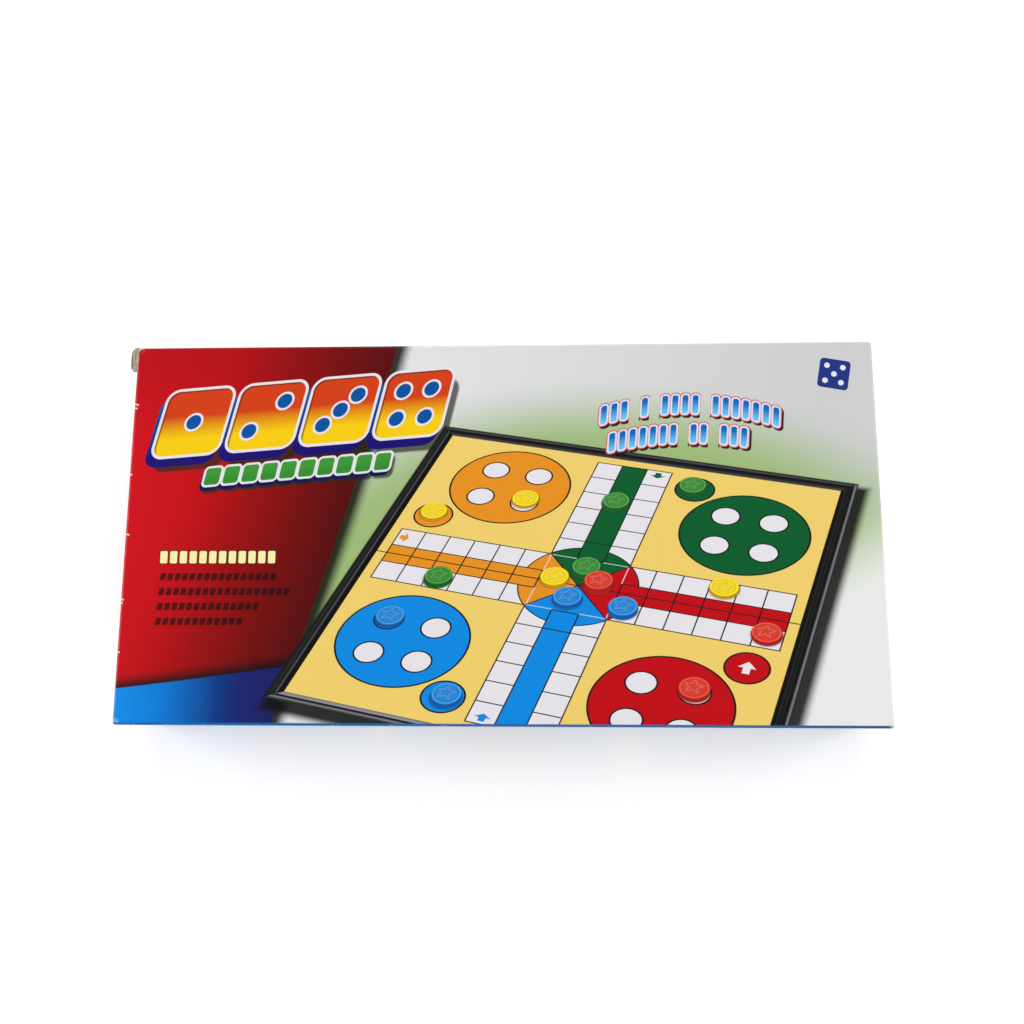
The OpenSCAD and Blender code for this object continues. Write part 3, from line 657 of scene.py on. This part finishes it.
def moulded_finish(name, colour, roughness, grain, depth):
    """Moulded plastic with a fine grain, a little paler where hands rub it"""
    f = Finish(name)
    fine = f.noise(grain, 3.0)
    cloud = f.noise(0.06, 2.0)
    pale = tuple(min(1.0, c * 1.5 + 0.012) for c in colour[:3]) + (1.0,)
    worn = f.node("NewGeometry", None, (), out="Pointiness").ramp(0.52, 0.6)
    tone = f.mix(cloud.ramp(0.35, 0.75) * 0.25, colour, pale)
    tone = f.mix(worn * 0.5, tone, pale)
    return f.surface(Base_Color=tone, Roughness=fine * 0.14 + cloud * 0.1 + roughness, IOR=1.5,
                     bump=fine, bump_height=depth)


def disc_finish(name, colour, low_colour):
    """Glossy coloured plastic, mottled at random with a deeper tone"""
    f = Finish(name)
    cloud = f.noise(0.35, 3.0)
    flow = f.noise(0.9, 2.0, (1, 1, 0.2))
    tone = f.mix(cloud.ramp(0.3, 0.8) * 0.35, colour, low_colour)
    return f.surface(Base_Color=tone, Roughness=flow * 0.12 + 0.18, IOR=1.49, Coat_Weight=0.3,
                     Coat_Roughness=0.08, Subsurface_Weight=0.08,
                     Subsurface_Radius=(0.002, 0.002, 0.002), bump=flow, bump_height=0.01)


def metal_finish(name, colour, roughness, stretch):
    """Drawn or rolled steel, with its streaks along one way"""
    f = Finish(name)
    streak = f.noise(3.0, 4.0, stretch)
    spots = f.noise(0.3, 3.0).ramp(0.6, 0.75)
    tone = f.mix(streak.ramp(0.3, 0.7) * 0.3, colour, tuple(c * 0.7 for c in colour[:3]) + (1.0,))
    tone = f.mix(spots * 0.25, tone, paint(96, 84, 72))
    return f.surface(Base_Color=tone, Metallic=1.0, Roughness=streak * 0.16 + spots * 0.2 + roughness,
                     bump=streak, bump_height=0.01)


def magnet_finish():
    f = Finish("sintered_ferrite")
    grit = f.noise(5.0, 4.0)
    tone = f.mix(grit, paint(38, 38, 42), paint(74, 74, 80))
    return f.surface(Base_Color=tone, Metallic=0.3, Roughness=grit * 0.2 + 0.5, bump=grit, bump_height=0.03)


def die_finish():
    """Ivory plastic; the hollowed pips, which lie within the cube's faces, are painted dark"""
    f = Finish("ivory_die")
    low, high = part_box("die")
    half = (high.x - low.x) / 2 / MM
    place = [axis - float(mid) / MM for axis, mid in zip(f.place(), (low + high) / 2)]
    reach = abs(place[0]).most(abs(place[1])).most(abs(place[2]))
    pip = (reach - (half - 0.04)).inside(0.03) * (f.length(*place) - half * 1.44).inside(0.03)
    cloud = f.noise(0.5, 3.0)
    tone = f.mix(cloud * 0.4, paint(240, 234, 214), paint(226, 214, 184))
    tone = f.mix(pip, tone, paint(24, 22, 26))
    return f.surface(Base_Color=tone, Roughness=cloud * 0.1 + 0.18, IOR=1.5, Coat_Weight=0.3,
                     Coat_Roughness=0.08, bump=cloud, bump_height=0.01)


# the folded cards, each made as one sheet, and the torn flap

def smooth_piece(name, mesh, *materials):
    """An object with the mesh built so far, shaded smooth"""
    data = bpy.data.meshes.new(name)
    mesh.to_mesh(data)
    mesh.free()
    for face in data.polygons:
        face.use_smooth = True
    for material in materials:
        data.materials.append(material)
    piece = bpy.data.objects.new(name, data)
    bpy.context.scene.collection.objects.link(piece)
    return piece


def thicken(piece, thickness, offset):
    thick = piece.modifiers.new("board_thickness", "SOLIDIFY")
    thick.thickness, thick.offset = thickness * MM, offset
    return thick


def even_places(half, step, keep=()):
    """Evenly spaced places from -half to half, with the nearest ones moved onto keep"""
    count = max(2, round(2 * half / step))
    places = [-half + 2 * half * i / count for i in range(count + 1)]
    for value in keep:
        closest = min(range(len(places)), key=lambda i: abs(places[i] - value))
        places[closest] = value
    return places


def ring_places(xs, ys, inset):
    """Places round a card at inset from its outline: each side, then the rounded corner after it"""
    half_x, half_y = BOX_W / 2, BOX_D / 2
    flat_x, flat_y = half_x - CORNER_R, half_y - CORNER_R
    sides = [([(x, -half_y + inset) for x in xs], (flat_x, -flat_y), -90),
             ([(half_x - inset, y) for y in ys], (flat_x, flat_y), 0),
             ([(x, half_y - inset) for x in reversed(xs)], (-flat_x, flat_y), 90),
             ([(-half_x + inset, y) for y in reversed(ys)], (-flat_x, -flat_y), 180)]
    radius = CORNER_R - inset
    places = []
    for side, centre, turn in sides:
        places += side
        for i in range(1, 6):
            angle = math.radians(turn + 15 * i)
            places.append((centre[0] + radius * math.cos(angle), centre[1] + radius * math.sin(angle)))
    return places


def folded_card(name, sign, face_z, notch_half, notch_depth, materials, body, node):
    """A card sheet folded down round a half's printed face and solidified to its thickness.
    Depth runs from the face at face_z towards the parting plane; sign is -1 where that is down."""
    half_x, half_y = BOX_W / 2, BOX_D / 2
    xs = even_places(half_x - CORNER_R, 3.0, (-notch_half, notch_half))
    ys = even_places(half_y - CORNER_R, 3.0)
    rings = [(0.0, d) for d in (COVER_H, 11.6, 9.5, notch_depth, 5.0, 3.0, 1.8, FOLD_R)]
    steps = 6
    for i in range(1, steps + 1):
        angle = math.pi / 2 * i / steps
        rings.append((FOLD_R * (1 - math.cos(angle)), FOLD_R * (1 - math.sin(angle))))
    rings.append((CORNER_R, 0.0))
    rings.sort(key=lambda ring: (-ring[1], ring[0]))

    mesh = bmesh.new()
    loops = [[mesh.verts.new((x * MM, y * MM, (face_z + sign * depth) * MM))
              for x, y in ring_places(xs, ys, inset)] for inset, depth in rings]
    for outer, inner in zip(loops, loops[1:]):
        for i in range(len(outer)):
            j = (i + 1) % len(outer)
            mesh.faces.new((outer[i], outer[j], inner[j], inner[i]))
    grid = [[mesh.verts.new((x * MM, y * MM, face_z * MM)) for y in ys] for x in xs]
    for i in range(len(xs) - 1):
        for j in range(len(ys) - 1):
            mesh.faces.new((grid[i][j], grid[i + 1][j], grid[i + 1][j + 1], grid[i][j + 1]))
    bmesh.ops.remove_doubles(mesh, verts=mesh.verts, dist=0.01 * MM)
    notch = []
    for face in mesh.faces:
        centre = face.calc_center_median() / MM
        depth = (centre.z - face_z) * sign
        if abs(centre.x) < notch_half and centre.y < -half_y + 0.5 and depth > notch_depth:
            notch.append(face)
    bmesh.ops.delete(mesh, geom=notch, context="FACES")
    bmesh.ops.recalc_face_normals(mesh, faces=mesh.faces)
    top = max(mesh.faces, key=lambda face: face.calc_area())
    if top.normal.z * sign > 0:
        bmesh.ops.reverse_faces(mesh, faces=mesh.faces)
    piece = smooth_piece(name, mesh, *materials)
    thick = thicken(piece, CARD_T, -1.0)
    thick.material_offset = thick.material_offset_rim = 1
    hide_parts(node)
    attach(piece, body)


def torn_flap(material):
    """The curled flap of bare board at the lid's back left corner"""
    left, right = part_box("lid_cover")[0].x / MM + 0.15, -BOX_W / 2 + 0.6
    front, back = 56.4, BOX_D / 2
    mesh = bmesh.new()
    across, along = 8, 24
    grid = []
    for i in range(across + 1):
        column = []
        for j in range(along + 1):
            s, t = i / across, j / along
            ragged = 0.14 * math.sin(j * 2.1) + 0.1 * math.sin(j * 4.7 + 1.0)
            taper = 1.0 - 0.5 * abs(2 * t - 1) ** 5
            x = right - (right - left) * s * taper - ragged * s * 0.5
            y = front + (back - front) * t
            lift = 33.58 - 0.5 * s * s + 0.12 * math.sin(s * 9.0)
            column.append(mesh.verts.new((max(x, left) * MM, y * MM, lift * MM)))
        grid.append(column)
    for i in range(across):
        for j in range(along):
            mesh.faces.new((grid[i][j], grid[i][j + 1], grid[i + 1][j + 1], grid[i + 1][j]))
    bmesh.ops.recalc_face_normals(mesh, faces=mesh.faces)
    piece = smooth_piece("lid_card_flap", mesh, material)
    thicken(piece, 0.5, 0.0)
    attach(piece, "lid")


# the notch that the cards leave for the latch: half its width, and where it starts below each face
NOTCH_HALF = 18.0
BASE_NOTCH = next(o for o in frame["record"]["physics"]["openings"]
                  if o["name"] == "latch_finger_gap")["box_m"][0][2] / MM
LID_NOTCH = 6.2

raw_board = raw_board_finish()
folded_card("base_card", 1, 0.0, NOTCH_HALF, BASE_NOTCH, [base_card_finish(), raw_board],
            "base", "base_cover")
folded_card("lid_card", -1, BOX_H, NOTCH_HALF, LID_NOTCH, [lid_card_finish(), raw_board],
            "lid", "lid_cover")
torn_flap(raw_board)

# finishes of the solids that the cards don't replace
black = moulded_finish("black_moulded_shell", paint(30, 30, 33), 0.36, 3.0, 0.012)
glossy_black = moulded_finish("black_bezel", paint(26, 26, 29), 0.26, 3.4, 0.008)
steel = metal_finish("rolled_steel", paint(196, 198, 202), 0.28, (0.1, 1, 1))
drawn_steel = metal_finish("drawn_steel", paint(178, 180, 186), 0.24, (0.1, 1, 1))
magnet = magnet_finish()
finishes = {
    "base_shell": black, "lid_shell": black, "base_ribs": black, "lid_ribs": black,
    "base_catch": black, "base_bezel": glossy_black, "lid_bezel": glossy_black, "latch_lever": glossy_black,
    "base_plate": steel, "lid_plate": steel, "hinge_pins": drawn_steel, "latch_pin": drawn_steel,
    "base_screws": drawn_steel, "lid_screws": drawn_steel, "base_magnets": magnet, "lid_magnets": magnet,
    "base_label": field_finish("field_near_half", -1), "lid_label": field_finish("field_far_half", 1),
    "blue_discs": disc_finish("blue_disc_plastic", paint(34, 134, 214), paint(16, 104, 184)),
    "red_discs": disc_finish("red_disc_plastic", paint(218, 60, 40), paint(188, 34, 28)),
    "yellow_discs": disc_finish("yellow_disc_plastic", paint(248, 216, 24), paint(232, 184, 12)),
    "die": die_finish(),
}
green_plastic = disc_finish("green_disc_plastic", paint(62, 142, 60), paint(36, 110, 44))
finishes["green_disc_base"] = finishes["green_discs_lid"] = green_plastic
for name, finish in finishes.items():
    cad = nodes[name]
    if not cad.material_slots:
        cad.data.materials.append(finish)
    for slot in cad.material_slots:
        slot.material = finish


# floor, light and camera

# the floor's reach in metres, and where it turns white for the camera, in millimetres from the part
FLOOR_REACH = 3.0
WHITE_FROM, WHITE_TO = 260.0, 560.0
# light from all round, and the lamps: places in metres, and power
WORLD_LEVEL = 0.28
LAMPS = {
    "left_panel": ((-0.95, 0.1, 0.62), 5.6),
    "right_panel": ((0.95, 0.15, 0.62), 5.1),
    "back_panel": ((0.0, 1.0, 0.66), 5.1),
    "front_panel": ((0.1, -1.0, 0.6), 4.2),
}
LAMP_AIM = (0.0, 0.0, 0.02)
LAMP_SIZE = 0.7
# the photograph's camera: place in millimetres, turn in degrees, lens and sensor in millimetres
CAMERA_PLACE = (17.38, -54.41, 373.79)
CAMERA_TURN = (10.067, 2.150, 0.209)
CAMERA_LENS = 36.03
CAMERA_SENSOR = 36.0


def floor_finish():
    """Matt and nearly white round the part, plain white to the camera far from it"""
    f = Finish("pale_floor")
    tone = f.mix(f.noise(0.004, 2.0), paint(244, 244, 244), paint(240, 240, 241))
    matt = f.node("BsdfPrincipled", None, {"Base Color": tone, "Roughness": 1.0, "Specular IOR Level": 0.0})
    lift = f.node("Emission", None, {"Color": (1, 1, 1, 1), "Strength": 0.3})
    white = f.node("Emission", None, {"Color": (1, 1, 1, 1), "Strength": 1.0})
    seen = f.node("LightPath", None, (), out="Is Camera Ray")
    x, y, _ = f.place()
    far = f.length(x, y).ramp(WHITE_FROM, WHITE_TO, smooth=True)
    near = f.node("MixShader", None, {0: seen, 1: matt, 2: f.node("AddShader", None, (matt, lift))})
    f.node("OutputMaterial", None, (f.node("MixShader", None, {0: far * seen, 1: near, 2: white}),))
    return f.data


def pale_floor():
    mesh = bmesh.new()
    mesh.faces.new([mesh.verts.new((side_x * FLOOR_REACH, side_y * FLOOR_REACH, 0.0))
                    for side_x, side_y in ((-1, -1), (1, -1), (1, 1), (-1, 1))])
    smooth_piece("floor", mesh, floor_finish())


def studio():
    """White behind everything, a plain level of light from all round, and four soft lamps"""
    f = Finish("studio", bpy.data.worlds)
    seen = f.node("LightPath", None, (), out="Is Camera Ray")
    glow = f.node("Background", None, {"Color": (1, 1, 1, 1), "Strength": f.choose(seen, WORLD_LEVEL, 1.0)})
    f.node("OutputWorld", None, (glow,))
    bpy.context.scene.world = f.data
    for name, (place, power) in LAMPS.items():
        lamp = bpy.data.lights.new(name, "AREA")
        lamp.shape, lamp.size, lamp.energy = "DISK", LAMP_SIZE, power
        holder = bpy.data.objects.new(name, lamp)
        bpy.context.scene.collection.objects.link(holder)
        holder.location = place
        holder.rotation_euler = (Vector(LAMP_AIM) - Vector(place)).to_track_quat("-Z", "Y").to_euler()


def camera():
    holder = bpy.data.objects.new("camera", bpy.data.cameras.new("camera"))
    bpy.context.scene.collection.objects.link(holder)
    holder.data.sensor_width, holder.data.lens = CAMERA_SENSOR, CAMERA_LENS
    holder.data.clip_start, holder.data.clip_end = 0.01, 20.0
    holder.location = Vector(CAMERA_PLACE) * MM
    holder.rotation_euler = [math.radians(a) for a in CAMERA_TURN]
    bpy.context.scene.camera = holder


pale_floor()
studio()
camera()
bpy.context.scene.view_settings.view_transform = "Standard"
